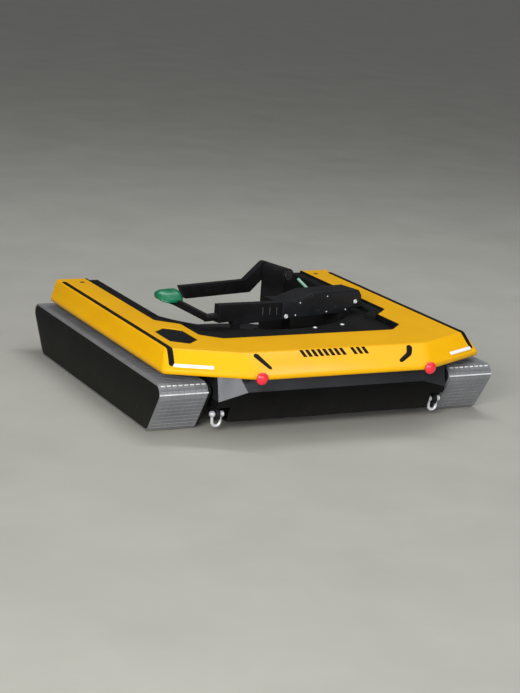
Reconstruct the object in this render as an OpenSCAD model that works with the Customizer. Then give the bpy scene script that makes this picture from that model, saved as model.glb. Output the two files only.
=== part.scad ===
// Low tracked pushback tug: a U-shaped deck between two belts, with a turntable that
// carries the aircraft's nose wheel. Front is -Y, left is -X, the floor is z = 0.

/* [Deck cover] */
// Height of the deck's flat top above the floor
deck_z = 262; // [250:1:290]
// Half width of the flat top, to the side fold
deck_half_w = 545; // [535:1:560]
// How far the side slope runs outwards
side_run = 28; // [15:1:40]
// How far the front slope runs forwards
front_run = 81; // [40:1:100]
// How far the swept corners' slope runs
sweep_run = 59; // [40:1:80]
// Height of the slopes, from the fold down to the rim
slope_drop = 55; // [45:1:60]
// Height of the upright lip under the rim
lip_h = 12; // [8:1:20]
// Thickness of the cover's shell
cover_t = 5; // [3:1:8]
// Front edge of the rim
rim_y = -599; // [-605:1:-590]
// Half width of the straight front fold
nose_half_w = 330; // [280:1:360]
// Angle at which the front corners sweep back
sweep_deg = 26; // [20:1:32]
// Rear end of the deck's arms
deck_rear_y = 562; // [540:1:575]
// Size of the cut at each arm's rear corner
rear_cut = 34; // [20:1:45]

/* [Deck opening] */
// Half width of the opening along the arms
slot_half_w = 432; // [425:1:440]
// Half width of the opening ahead of the arms' first bend
slot_mid_w = 367; // [360:1:380]
// Half width of the opening's front edge
slot_front_w = 310; // [300:1:330]
// Where the first bend starts
slot_bend_y = -68; // [-90:1:-50]
// Front edge of the opening
slot_front_y = -335; // [-345:1:-320]

/* [Control panel] */
// Distance of the control panel from the side fold
panel_edge = 49; // [30:1:60]
// Width of the control panel
panel_w = 96; // [80:1:110]
// Length of the control panel
panel_l = 208; // [180:1:230]
// Length of the panel's straight sides
panel_side_l = 124; // [100:1:150]
// Place of the panel's middle
panel_y = -275; // [-290:1:-260]
// Depth of the panel's recess in the cover
panel_recess = 4; // [2:0.5:4.5]
// Thickness of the control panel
panel_plate_t = 2.5; // [1:0.5:3]

/* [Chassis] */
// Top of the black plate under the cover
plate_z = 243; // [235:1:250]
// Thickness of the black plate
plate_t = 8; // [5:1:10]
// How far the black plate stays inside the side fold
plate_inset = 13; // [9:1:40]
// How far the black plate stays behind the front fold
plate_front_gap = 12; // [8:1:40]
// Half width of the chassis box between the belts
tub_half_w = 426; // [418:1:440]
// Width of the hollow arms beside the well
arm_box_w = 38; // [30:1:44]
// Underside of the chassis above the floor
belly_z = 37; // [30:1:42]
// Thickness of the belly plate
belly_t = 8; // [6:1:12]
// Thickness of the chassis walls
wall_t = 6; // [4:1:10]
// Length of the battery block
battery_l = 165; // [120:1:180]
// Height of the battery block
battery_h = 150; // [100:1:170]
// Width of each drive unit
drive_w = 160; // [120:1:170]
// Length of each drive unit
drive_l = 150; // [120:1:170]
// Height of each drive unit
drive_h = 130; // [100:1:160]
// Gap round the blocks in the front box
block_gap = 25; // [15:1:25]
// Front face of the chassis box, behind the apron
tub_front_y = -440; // [-450:1:-430]
// Rear end of the chassis arms
tub_rear_y = 560; // [545:1:570]

/* [Front panels] */
// Front edge of the fold between the upper band and the apron
band_y = -545; // [-560:1:-530]
// Height of that fold
band_fold_z = 141; // [132:1:150]
// Half width of the fold's straight front
band_half_w = 316; // [290:1:335]
// How far the band's sides stay inside the chassis box
band_side_gap = 16; // [8:1:24]
// How far the band leans back from upright
band_lean = 18.7; // [10:0.1:25]
// How far the band's corner faces sweep back
face_sweep = 10.6; // [6:0.1:16]
// How far the band's corner faces lean back
face_lean = 13.7; // [10:0.1:20]
// How far the apron leans back from upright, towards the floor
apron_lean = 21; // [12:0.5:28]
// How much lower the fold is at its outer ends
fold_fall = 28; // [16:1:36]
// How far the band's top stays below the black plate
band_drop = 7; // [5:1:30]
// Thickness of the front panels
panel_t = 5; // [3:1:8]
// Half width of the room for a shackle in the apron's corner
shackle_room = 30; // [26:1:40]
// Height of the top of that room
shackle_room_z = 90; // [84:1:100]

/* [Belts] */
// Outer radius of the belt at its front and rear noses
nose_r = 32; // [28:1:38]
// Outer radius of the belt where it meets the floor
toe_r = 36; // [30:1:44]
// Height of the belt's top run
belt_top_z = 171; // [165:1:180]
// Front end of the belt
belt_front_y = -516; // [-522:1:-505]
// Rear end of the belt
belt_rear_y = 615; // [600:1:620]
// Where the belt's front meets the floor
toe_front_y = -411; // [-430:1:-395]
// Where the belt's rear leaves the floor
toe_rear_y = 500; // [480:1:515]
// Thickness of the side plates inside the belts
inner_guard_t = 8; // [5:1:10]
// Gap between the belt and the side plates
belt_gap = 2; // [1:0.5:6]
// Width of the belt
belt_w = 154; // [140:1:156]
// Thickness of the belt with its ribs
belt_t = 11; // [9:1:14]
// Depth of the belt's ribs
rib_h = 3; // [2:1:4]
// Distance from rib to rib
rib_pitch = 18; // [15:1:30]
// Thickness of the side plates outside the belts
guard_t = 8; // [5:1:9]
// How far the side plates stay inside the belt's outline
guard_inset = 7; // [5:1:12]

/* [Turntable] */
// Place of the turntable's axis
tt_y = 192; // [185:1:200]
// How far the turntable is turned as it stands
tt_turn = 12; // [0:1:20]
// Gap between the turntable's disc and the wall of the well
disc_gap = 10; // [8:1:20]
// Top of the disc, where the wheel stands
disc_z = 80; // [75:1:95]
// Thickness of the disc
disc_t = 12; // [8:1:16]
// Radius of the slewing ring
ring_r = 230; // [180:1:280]
// Width of the slewing ring
ring_w = 45; // [30:1:60]
// Where the disc's bevelled rear edge starts
ramp_y = 262; // [240:1:300]
// Angle of the bevelled rear edge
ramp_deg = 5; // [2:0.5:5]
// Width of the plate that the wheel stands on
stand_w = 240; // [200:1:280]
// Length of the plate that the wheel stands on
stand_l = 320; // [280:1:340]
// Thickness of the plate that the wheel stands on
stand_t = 3; // [2:0.5:5]

/* [Gate beam] */
// Half length of the beam ahead of the wheel
beam_half_l = 310; // [290:1:320]
// How far the beam's front face lies inside the disc's edge
beam_inset = 88; // [80:1:110]
// Depth of the beam's housing
beam_d = 96; // [80:1:105]
// Depth of the beam's plate left of the housing
beam_face_d = 30; // [28:1:40]
// Distance of the housing's left end from the middle
housing_x = 50; // [30:1:90]
// Underside of the beam, clear of the deck
beam_z = 250; // [248:1:258]
// Height of the beam
beam_h = 75; // [64:1:84]
// How far the beam's top falls from its left end to its middle
beam_fall = 16; // [0:1:24]
// How far the beam's top rises again to its right half
beam_step = 20; // [4:1:30]
// Length of that rise
beam_step_l = 90; // [40:1:120]
// Width of the corner cut at the beam's right end
beam_cut_w = 14; // [6:1:24]
// Height of that corner cut
beam_cut_h = 20; // [6:1:24]
// How far the beam's posts stand inside the disc's edge, measured sideways
beam_post_in = 148; // [140:1:180]
// Width of the beam's posts
beam_post_w = 24; // [16:1:30]
// How far the posts stay inside the beam's depth
beam_post_inset = 4; // [2:1:8]

/* [Retaining arm] */
// How far the middle of the post stands inside the disc's edge
post_inset = 119; // [100:1:140]
// Front face of the post behind the axis
post_y = 50; // [30:1:80]
// Depth of the post
post_d = 126; // [100:1:132]
// Radius of the post's round top and of the arm's hub
hub_r = 24; // [20:1:28]
// Height of the pin that the arm lifts on
pin_z = 309; // [304:1:318]
// Radius of the pin
pin_r = 10; // [8:1:12]
// Radial clearance on the pins
pin_clear = 0.05; // [0.02:0.01:0.1]
// Size of the post's foot around it
post_foot = 12; // [8:1:20]
// Gap between the post and the arm
arm_gap = 9; // [6:1:14]
// Thickness of the arm's bar
arm_t = 26; // [20:1:30]
// Underside of the arm's bar
arm_z = 224; // [215:1:230]
// Height of the arm's bar
arm_h = 46; // [36:1:50]
// Reach of the arm's tip beyond the middle
arm_reach = 119; // [90:1:130]
// Slant of the arm's tip
tip_cut = 24; // [10:1:30]
// How far the arm runs down from its hub, sideways
arm_drop_w = 90; // [70:1:110]
// Length of the tyre pad
pad_l = 150; // [110:1:180]
// Thickness of the tyre pad
pad_t = 6; // [4:1:8]

/* [Levers] */
// Gap between the beam's end and the foot lever
lever_gap = 34; // [20:1:40]
// Thickness of the foot lever
lever_t = 14; // [8:1:16]
// Height of the lever's bar
lever_bar_h = 22; // [14:1:24]
// Radius of the lever's boss
lever_boss_r = 13; // [10:1:15]
// Height of the lever's pivot over the beam's underside
lever_pivot_h = 33; // [31:1:36]
// How far the lever's tip lies behind its pivot
lever_reach = 175; // [160:1:185]
// Height of the lever's tip
lever_tip_z = 309; // [300:1:318]
// Length of the flat that carries the grip
lever_flat = 40; // [30:1:50]
// Gap between the beam's end and the grip
grip_gap = 16; // [8:1:30]
// Length of the green grip
grip_l = 92; // [80:1:100]
// Width of the green grip
grip_w = 48; // [40:1:56]
// Height of the green grip
grip_h = 30; // [22:1:34]
// Radius of the latch rod
rod_r = 5; // [4:0.5:7]
// Length of the latch rod
rod_l = 122; // [100:1:130]
// Distance of the latch rod's foot from the middle
rod_x = 165; // [150:1:180]

/* [Fittings] */
// Diameter of the red stop buttons
stop_d = 40; // [34:1:44]
// Distance of the stop buttons from the middle
stop_x = 301; // [280:1:320]
// How far the tow lugs stand inside the band's sides
lug_inset = 16; // [10:1:30]
// Height of the tow lugs' holes
lug_z = 62; // [58:1:70]
// Place of the tow lugs' holes
lug_y = -490; // [-495:1:-485]
// Thickness of the tow lugs
lug_t = 12; // [10:1:14]
// Radius of the tow lugs' round ends
lug_r = 20; // [18:1:24]
// Radius of the shackle pins
shackle_pin_r = 6; // [5:1:7]
// Radius of the shackle's bent rod
shackle_rod_r = 5; // [4:0.5:6]
// Radius of the shackle's bow
bow_r = 14; // [13:1:18]
// Length of the shackle's legs
shackle_leg = 24; // [20:1:24]
// Length of the white light bars
light_l = 125; // [90:1:150]
// Width of the white light bars
light_w = 12; // [8:1:16]
// Thickness of the white light bars
light_t = 4; // [2:0.5:6]
// Distance of the light bars down the slope from the fold
light_down = 56; // [40:1:60]
// Distance of the light bars from the front fold's end
light_along = 85; // [60:1:100]

/* [Hidden] */

yellow = "#f2a900";
black = "#1c1d1f";
grey = "#77787b";
steel = "#b9bcc0";
big = 1500;
eps = 0.01;
round_fn = 64;
// Gap between a piece and a seat that it doesn't touch, and at a seam
seat_gap = 0.3;
well_r = tub_half_w - arm_box_w;
disc_r = well_r - disc_gap;
plate_half_w = deck_half_w - plate_inset;
band_out_w = tub_half_w - band_side_gap;
post_x = disc_r - post_inset;

rim_z = deck_z - slope_drop;
lip_z = rim_z - lip_h;
fold_y = rim_y + front_run;

// The corner slopes end this much earlier than their run, so that no four planes meet in one point
rim_trim = 0.5;
// Folds of the cover: place of the fold, outward direction, run of the slope
FOLDS = [
    [[deck_half_w, 0], 0, side_run, 0],
    [[-deck_half_w, 0], 180, side_run, 0],
    [[0, fold_y], -90, front_run, 0],
    [[nose_half_w, fold_y], sweep_deg - 90, sweep_run, rim_trim],
    [[-nose_half_w, fold_y], -90 - sweep_deg, sweep_run, rim_trim],
];
FOLD_POINT = 0;
FOLD_DIR = 1;
FOLD_RUN = 2;
FOLD_TRIM = 3;

// Mirrors a child to the left side
module left() mirror([1, 0, 0]) children();

// Takes away what lies outside a fold's slope and outside its lip
module fold_cut(fold, inset) {
    slope = atan2(slope_drop, fold[FOLD_RUN]);
    translate([fold[FOLD_POINT].x, fold[FOLD_POINT].y, deck_z]) rotate([0, 0, fold[FOLD_DIR]]) {
        rotate([0, slope, 0]) translate([-big, -big, -inset]) cube([2 * big, 2 * big, big]);
        translate([fold[FOLD_RUN] - fold[FOLD_TRIM] - inset, -big, -big]) cube([big, 2 * big, 2 * big]);
    }
}

// The cover's outer form, or its hollow when inset is the shell's thickness
module cover_form(inset) {
    difference() {
        translate([-big / 2, rim_y - big / 10, inset > 0 ? lip_z - 1 : lip_z])
            cube([big, big / 10 + deck_rear_y - rim_y - inset, slope_drop + lip_h - inset + (inset > 0 ? 1 : 0)]);
        for (fold = FOLDS) fold_cut(fold, inset);
        for (side = [0, 1]) mirror([side, 0, 0])
            translate([deck_half_w + side_run - rear_cut, deck_rear_y, 0]) rotate([0, 0, 45])
                translate([-inset * 1.4, -big, -1]) cube([big, 2 * big, big]);
    }
}

// Outline of the opening in the deck, grown by g
function slot_half(g) = let (bend = slot_half_w - slot_mid_w, b2 = slot_mid_w - slot_front_w, k = g * tan(22.5))
    [[slot_half_w + g, big], [slot_half_w + g, slot_bend_y - k], [slot_mid_w + g, slot_bend_y - bend - k],
     [slot_mid_w + g, slot_front_y + b2 - k], [slot_front_w + k, slot_front_y - g]];
function slot_outline(g) = let (half = slot_half(g), n = len(half))
    concat(half, [for (i = [n - 1:-1:0]) [-half[i].x, half[i].y]]);

// Outline of the control panel on the left arm
panel_x = deck_half_w - panel_edge - panel_w / 2;
function panel_outline(g) = let (w = panel_w / 2, l = panel_l / 2, side = panel_side_l / 2)
    [[0, l + g], [w + g, side], [w + g, -side], [0, -l - g], [-w - g, -side], [-w - g, side]];

module stop_hole() {
    for (side = [-1, 1]) translate([side * stop_x, rim_y, stop_z]) rotate([90, 0, 0])
        translate([0, 0, -40]) cylinder(r = stop_stem_r + 0.5, h = 60, $fn = round_fn);
}
stop_z = rim_z - 6;
stop_stem_r = 12;

// The whole cover, before it is parted at its folds
module cover_shell() {
    difference() {
        cover_form(0);
        difference() {
            cover_form(cover_t);
            translate([0, 0, plate_z]) linear_extrude(big) polygon(slot_outline(cover_t));
            translate([-panel_x, panel_y, deck_z - 2 * cover_t]) linear_extrude(big) polygon(panel_outline(cover_t));
        }
        translate([0, 0, -1]) linear_extrude(big) polygon(slot_outline(0));
        translate([-panel_x, panel_y, deck_z - panel_recess]) linear_extrude(big) polygon(panel_outline(0));
        stop_hole();
    }
}

// The cover is parted into sheets just inside its folds
seam_in = 2;

// What lies beyond the folds at the front
module beyond_front(gap) {
    for (i = [2:4]) translate([FOLDS[i][FOLD_POINT].x, FOLDS[i][FOLD_POINT].y, 0])
        rotate([0, 0, FOLDS[i][FOLD_DIR]]) translate([gap, -big, 0]) cube([big, 2 * big, big]);
}

module beyond_sides(gap) {
    for (side = [0, 1]) mirror([side, 0, 0]) translate([deck_half_w + gap, -big, 0]) cube([big, 2 * big, big]);
}

module beyond_rear(gap) {
    translate([-big, deck_rear_y - cover_t + gap, 0]) cube([2 * big, big, big]);
}

module deck_cover() {
    color(yellow) difference() {
        cover_shell();
        beyond_front(-seam_in);
        beyond_sides(-seam_in);
        beyond_rear(-seam_in);
    }
}

module cover_skirts() {
    color(yellow) {
        intersection() {
            cover_shell();
            beyond_sides(-seam_in);
        }
        difference() {
            intersection() {
                cover_shell();
                beyond_front(-seam_in);
            }
            beyond_sides(-seam_in - seat_gap);
        }
        difference() {
            intersection() {
                cover_shell();
                beyond_rear(-seam_in);
            }
            beyond_sides(-seam_in - seat_gap);
        }
    }
}

module control_panel() {
    color(black) translate([-panel_x, panel_y, deck_z - panel_recess + eps])
        linear_extrude(panel_plate_t) polygon(panel_outline(-0.5));
}

module well(r, z, h) {
    translate([0, tt_y, z]) cylinder(r = r, h = h, $fn = 96);
    translate([-r, tt_y, z]) cube([2 * r, big, h]);
}

// Three plates with seams beside the well
module deck_plate() {
    front_y = fold_y + plate_front_gap;
    rear_y = deck_rear_y - cover_t - seat_gap;
    corner_y = front_y + (plate_half_w - nose_half_w) * tan(sweep_deg);
    color(black) difference() {
        translate([0, 0, plate_z - plate_t]) linear_extrude(plate_t)
            polygon([[-plate_half_w, rear_y], [-plate_half_w, corner_y], [-nose_half_w, front_y],
                     [nose_half_w, front_y], [plate_half_w, corner_y], [plate_half_w, rear_y]]);
        well(well_r, 0, big);
        translate([-big, slot_bend_y, 0]) cube([2 * big, seat_gap, big]);
    }
}

wall_z = belly_z + belly_t;
wall_h = plate_z - plate_t - wall_z;
module belly_plate() {
    color(black) translate([-tub_half_w, tub_front_y, belly_z])
        cube([2 * tub_half_w, tub_rear_y - tub_front_y, belly_t]);
}

// Front wall, side walls and the arms' rear ends
module chassis_frame() {
    side_l = tub_rear_y - tub_front_y;
    color(black) {
        translate([-tub_half_w + wall_t + seat_gap, tub_front_y, wall_z])
            cube([2 * (tub_half_w - wall_t - seat_gap), wall_t, wall_h]);
        for (side = [0, 1]) mirror([side, 0, 0]) {
            translate([tub_half_w - wall_t, tub_front_y, wall_z]) cube([wall_t, side_l, wall_h]);
            translate([well_r, tub_rear_y - wall_t, wall_z])
                cube([arm_box_w - wall_t - seat_gap, wall_t, wall_h]);
        }
    }
}

// The well's round wall in two quarters, and its straight sides
module well_wall() {
    color(black) {
        difference() {
            translate([0, tt_y, wall_z]) cylinder(r = well_r + wall_t, h = wall_h, $fn = 96);
            translate([0, tt_y, 0]) cylinder(r = well_r, h = big, $fn = 96);
            translate([-big, tt_y, 0]) cube([2 * big, big, big]);
            translate([-seat_gap / 2, -big, 0]) cube([seat_gap, 2 * big, big]);
        }
        for (side = [0, 1]) mirror([side, 0, 0]) translate([well_r, tt_y + seat_gap, wall_z])
            cube([wall_t, tub_rear_y - wall_t - tt_y - 2 * seat_gap, wall_h]);
    }
}

// Folded ramp at the rear of the belly plate
sill_run = 42;
sill_z = 8;
module rear_sill() {
    color(black) rotate([90, 0, 90]) translate([0, 0, -well_r + wall_t]) linear_extrude(2 * (well_r - wall_t))
        polygon([[tub_rear_y, wall_z], [tub_rear_y, belly_z],
                 [tub_rear_y + sill_run - belly_t, sill_z], [tub_rear_y + sill_run, sill_z]]);
}

// Plain blocks for the heavy things in the front box
block_y = tub_front_y + block_gap;
drive_out_x = tub_half_w - wall_t - block_gap;
battery_half_w = drive_out_x - drive_w - block_gap;
module battery_pack() {
    color("#33383d") translate([-battery_half_w, block_y, wall_z]) cube([2 * battery_half_w, battery_l, battery_h]);
}

module drive_unit(side) {
    color("#33383d") translate([side * (drive_out_x - drive_w / 2) - drive_w / 2, block_y, wall_z])
        cube([drive_w, drive_l, drive_h]);
}

// What lies ahead of a face that is turned by turn and leans back by lean, moved inwards
module ahead_of(point, turn, lean, in) {
    translate(point) rotate([0, 0, turn]) rotate([-lean, 0, 0]) translate([-big, in - big, -big])
        cube([2 * big, big, 2 * big]);
}

// Form of the front panels, or its hollow when in is their thickness
module front_form(in) {
    top = plate_z - plate_t - band_drop;
    difference() {
        translate([in - band_out_w, 2 * band_y, belly_z + in])
            cube([2 * (band_out_w - in), tub_front_y - 2 * band_y + (in > 0 ? 1 : 0), top - belly_z]);
        ahead_of([0, band_y, band_fold_z], 0, band_lean, in);
        ahead_of([0, band_y, band_fold_z], 0, -apron_lean, in);
        for (side = [0, 1]) mirror([side, 0, 0])
            ahead_of([band_half_w, band_y, band_fold_z], face_sweep, face_lean, in);
    }
}

// What lies below the fold, whose outer ends fall
module below_fold() {
    fold_end = band_fold_z - fold_fall * (band_out_w - band_half_w + 1) / (band_out_w - band_half_w);
    rotate([90, 0, 0]) translate([0, 0, -big]) linear_extrude(2 * big)
        polygon([[-band_out_w - 1, 0], [-band_out_w - 1, fold_end], [-band_half_w, band_fold_z],
                 [band_half_w, band_fold_z], [band_out_w + 1, fold_end], [band_out_w + 1, 0]]);
}

module front_band() {
    color(black) difference() {
        front_form(0);
        front_form(panel_t);
        below_fold();
    }
}

module front_apron() {
    color(black) difference() {
        intersection() {
            front_form(0);
            below_fold();
        }
        front_form(panel_t);
        for (side = [0, 1]) mirror([side, 0, 0]) translate([lug_x - shackle_room, -big, 0])
            cube([big, 2 * big, shackle_room_z]);
    }
}

module stop_button() {
    translate([stop_x, rim_y, stop_z]) rotate([90, 0, 0]) {
        color(black) translate([0, 0, -18]) cylinder(r = stop_stem_r, h = 22, $fn = round_fn);
        color("#d8232f") {
            translate([0, 0, 4]) cylinder(r = stop_d / 2, h = 6, $fn = round_fn);
            translate([0, 0, 10]) cylinder(r1 = stop_d / 2, r2 = stop_d / 2 - 7, h = 6, $fn = round_fn);
        }
    }
}

module on_sweep(along, down) {
    fold = FOLDS[3];
    translate([fold[FOLD_POINT].x, fold[FOLD_POINT].y, deck_z]) rotate([0, 0, fold[FOLD_DIR]])
        rotate([0, atan2(slope_drop, fold[FOLD_RUN]), 0]) translate([down, along, 0]) children();
}

module light_bar() {
    color("white") on_sweep(light_along, light_down) translate([0, 0, eps]) cube([light_w, light_l, light_t]);
}

lug_x = band_out_w - lug_inset;
module tow_lug() {
    color(black) translate([lug_x - lug_t / 2, 0, 0]) rotate([90, 0, 90]) linear_extrude(lug_t) difference() {
        union() {
            translate([lug_y, lug_z]) circle(r = lug_r, $fn = round_fn);
            translate([lug_y, lug_z - lug_r]) square([tub_front_y - lug_y, 2 * lug_r]);
        }
        translate([lug_y, lug_z]) circle(r = shackle_pin_r + pin_clear, $fn = round_fn);
    }
}

// Shackle that hangs from the lug by its pin
module shackle() {
    half_pin = bow_r + shackle_rod_r + 4;
    color(steel) translate([lug_x, lug_y, lug_z]) {
        rotate([0, 90, 0]) translate([0, 0, -half_pin]) cylinder(r = shackle_pin_r, h = 2 * half_pin, $fn = round_fn);
        for (side = [-1, 1]) {
            translate([side * bow_r - shackle_rod_r, 0, 0]) rotate([0, 90, 0])
                cylinder(r = 2 * shackle_rod_r, h = 2 * shackle_rod_r, $fn = round_fn);
            translate([side * bow_r, 0, -shackle_leg]) cylinder(r = shackle_rod_r, h = shackle_leg, $fn = 32);
        }
        translate([0, 0, -shackle_leg]) rotate([90, 0, 0]) rotate([0, 0, 180])
            rotate_extrude(angle = 180, $fn = round_fn) translate([bow_r, 0]) circle(r = shackle_rod_r, $fn = 32);
    }
}

// Wheels that the belt wraps, counter-clockwise in the (y, z) plane: y, z, outer radius
BELT_WHEELS = [
    [belt_front_y + nose_r, belt_top_z - nose_r, nose_r],
    [toe_front_y, toe_r, toe_r],
    [toe_rear_y, toe_r, toe_r],
    [belt_rear_y - nose_r, belt_top_z - nose_r, nose_r],
];
WHEEL_N = len(BELT_WHEELS);
function wheel(i) = BELT_WHEELS[(i + WHEEL_N) % WHEEL_N];
function centre(i) = [wheel(i)[0], wheel(i)[1]];
function span(i) = norm(centre(i + 1) - centre(i));
// Direction of the outward normal on the straight run from wheel i to the next
function run_normal(i) = let (d = centre(i + 1) - centre(i))
    atan2(d.y, d.x) - acos((wheel(i)[2] - wheel(i + 1)[2]) / span(i));
function wrap(a) = a < 0 ? wrap(a + 360) : a >= 360 ? wrap(a - 360) : a;
function arc_deg(i) = wrap(run_normal(i) - run_normal(i - 1));
function arc_len(i) = arc_deg(i) * PI / 180 * wheel(i)[2];
function run_len(i) = sqrt(pow(span(i), 2) - pow(wheel(i)[2] - wheel(i + 1)[2], 2));
function part_len(i) = arc_len(i) + run_len(i);
function sum_to(i) = i <= 0 ? 0 : part_len(i - 1) + sum_to(i - 1);
BELT_LEN = sum_to(WHEEL_N);
function dir(a) = [cos(a), sin(a)];
// Point of the loop at distance s along it, moved inwards by depth
function belt_point(s, depth, i = 0) =
    s > part_len(i) && i < WHEEL_N - 1 ? belt_point(s - part_len(i), depth, i + 1) :
    s <= arc_len(i) ? centre(i) + (wheel(i)[2] - depth) * dir(run_normal(i - 1) + s / wheel(i)[2] * 180 / PI) :
    let (a = run_normal(i)) centre(i) + (wheel(i)[2] - depth) * dir(a) + (s - arc_len(i)) * dir(a + 90);
RIB_N = round(BELT_LEN / rib_pitch);
RIB_STEP = BELT_LEN / RIB_N;
// Fractions of a rib's pitch and depth where its outline turns
RIB_SHAPE = [[0.10, 1], [0.18, 0], [0.72, 0], [0.80, 1]];
function ribbed_outline() = [for (k = [0:RIB_N - 1], q = RIB_SHAPE) belt_point((k + q[0]) * RIB_STEP, q[1] * rib_h)];
ARC_STEPS = 8;
function smooth_outline(depth) = [for (i = [0:WHEEL_N - 1], j = [0:ARC_STEPS])
    centre(i) + (wheel(i)[2] - depth) * dir(run_normal(i - 1) + arc_deg(i) * j / ARC_STEPS)];

module side_profile(x, w) {
    translate([x, 0, 0]) rotate([90, 0, 90]) linear_extrude(w) children();
}

belt_x = tub_half_w + inner_guard_t + belt_gap;
module belt() {
    color(grey) difference() {
        side_profile(belt_x, belt_w) polygon(ribbed_outline());
        side_profile(belt_x - 1, belt_w + 2) polygon(smooth_outline(belt_t));
    }
}

outer_guard_x = belt_x + belt_w + belt_gap;
module outer_guard() {
    color(black) side_profile(outer_guard_x, guard_t) polygon(smooth_outline(guard_inset));
}

module inner_guard() {
    color(black) side_profile(tub_half_w, inner_guard_t) polygon(smooth_outline(guard_inset));
}

ROLLER_N = 6;
roller_r = 22;
roller_z = belt_t + seat_gap + roller_r;
nose_roller_r = nose_r - belt_t - seat_gap;
roller_x = belt_x + 4;
roller_w = belt_w - 8;
// Rollers inside the belt: y, z, radius
ROLLERS = concat(
    [[wheel(0)[0], wheel(0)[1], nose_roller_r], [wheel(3)[0], wheel(3)[1], nose_roller_r]],
    [for (i = [0:ROLLER_N - 1]) [toe_front_y + (toe_rear_y - toe_front_y) * i / (ROLLER_N - 1), roller_z, roller_r]]);
axle_r = 8;
track_x = tub_half_w + inner_guard_t;
track_w = outer_guard_x - track_x;

module rollers() {
    color(steel) for (r = ROLLERS) translate([0, r[0], r[1]]) rotate([0, 90, 0]) {
        translate([0, 0, roller_x]) cylinder(r = r[2], h = roller_w, $fn = 48);
        translate([0, 0, track_x]) cylinder(r = axle_r, h = track_w, $fn = 32);
    }
}

beam_low_z = roller_z + roller_r + 6;
beam_top_z = belt_top_z - belt_t - 4;
module track_beam() {
    color(black) side_profile(track_x, track_w)
        polygon([[toe_front_y + 10, beam_low_z], [toe_rear_y - 10, beam_low_z],
                 [toe_rear_y - 10, beam_top_z], [toe_front_y + 10, beam_top_z]]);
}

module cradle() translate([0, tt_y, 0]) rotate([0, 0, tt_turn]) children();

module slewing_ring() {
    color(steel) translate([0, tt_y, wall_z]) difference() {
        cylinder(r = ring_r, h = disc_z - disc_t - wall_z - seat_gap, $fn = 96);
        translate([0, 0, -1]) cylinder(r = ring_r - ring_w, h = 100, $fn = 96);
    }
}

module turntable() {
    color(black) cradle() {
        difference() {
            translate([0, 0, disc_z - disc_t]) cylinder(r = disc_r, h = disc_t, $fn = 96);
            translate([-big / 2, ramp_y, disc_z]) rotate([-ramp_deg, 0, 0]) cube([big, big, 50]);
        }
        translate([-stand_w / 2, -stand_l / 2, disc_z - 1]) cube([stand_w, stand_l, stand_t + 1]);
    }
}

beam_front = disc_r - beam_inset;
module beam_post(x, depth) {
    translate([x - beam_post_w / 2, -beam_front + beam_post_inset, disc_z])
        cube([beam_post_w, depth - 2 * beam_post_inset, beam_z - disc_z]);
}

module beam_posts() {
    color(black) cradle() {
        beam_post(beam_post_in - disc_r, beam_face_d);
        beam_post(disc_r - beam_post_in, beam_d);
    }
}

beam_top = beam_z + beam_h;
module beam_profile() {
    low = beam_top - beam_fall;
    polygon([[-beam_half_l, beam_z], [beam_half_l, beam_z], [beam_half_l, beam_top - beam_cut_h],
             [beam_half_l - beam_cut_w, beam_top], [beam_step_l, low + beam_step], [0, low],
             [-beam_half_l, beam_top]]);
}

module gate_beam() {
    color(black) cradle() {
        translate([0, beam_face_d - beam_front, 0]) rotate([90, 0, 0]) linear_extrude(beam_face_d)
            beam_profile();
        translate([0, beam_d - beam_front, 0]) rotate([90, 0, 0]) linear_extrude(beam_d) intersection() {
            beam_profile();
            translate([-housing_x, 0]) square(big);
        }
    }
}

// Post of the lifting arm, with the pin that the arm lifts on
module arm_post() {
    foot_h = 8;
    color(black) cradle() translate([post_x, post_y, 0]) {
        translate([-hub_r, 0, disc_z]) cube([2 * hub_r, post_d, pin_z - disc_z]);
        translate([-hub_r - post_foot, -post_foot, disc_z])
            cube([2 * (hub_r + post_foot), post_d + 2 * post_foot, foot_h]);
        translate([0, post_d, pin_z]) rotate([90, 0, 0]) cylinder(r = hub_r, h = post_d, $fn = round_fn);
        translate([0, post_d + arm_gap + arm_t + 2, pin_z]) rotate([90, 0, 0])
            cylinder(r = pin_r, h = arm_gap + arm_t + 4, $fn = round_fn);
    }
}

// Bar behind the tyre, which lifts about its hub
arm_y = post_y + post_d + arm_gap;
module retaining_arm() {
    top = arm_z + arm_h;
    bend_x = post_x - arm_drop_w;
    color(black) cradle() translate([0, arm_y + arm_t, 0]) rotate([90, 0, 0]) linear_extrude(arm_t) difference() {
        union() {
            translate([post_x, pin_z]) circle(r = hub_r, $fn = round_fn);
            polygon([[post_x - hub_r * sin(arm_deg), pin_z + hub_r * cos(arm_deg)], [bend_x, top], [-arm_reach, top],
                     [-arm_reach + tip_cut, arm_z], [bend_x + hub_r, arm_z],
                     [post_x + hub_r * sin(arm_deg), pin_z - hub_r * cos(arm_deg)]]);
        }
        translate([post_x, pin_z]) circle(r = pin_r + pin_clear, $fn = round_fn);
    }
}
// Slope of the arm's run down from its hub
arm_deg = atan2(pin_z + hub_r - arm_z - arm_h, arm_drop_w);

module tyre_pad() {
    color("#2a2a2c") cradle() translate([-pad_l / 2, arm_y - pad_t, arm_z + 4]) cube([pad_l, pad_t, arm_h - 8]);
}

// Outline of a w by h rectangle with round corners
module rounded(w, h, r) {
    translate([-w / 2 + r, -h / 2]) square([w - 2 * r, h]);
    translate([-w / 2, -h / 2 + r]) square([w, h - 2 * r]);
    for (x = [-1, 1], y = [-1, 1]) translate([x * (w / 2 - r), y * (h / 2 - r)]) circle(r = r, $fn = 32);
}

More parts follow.
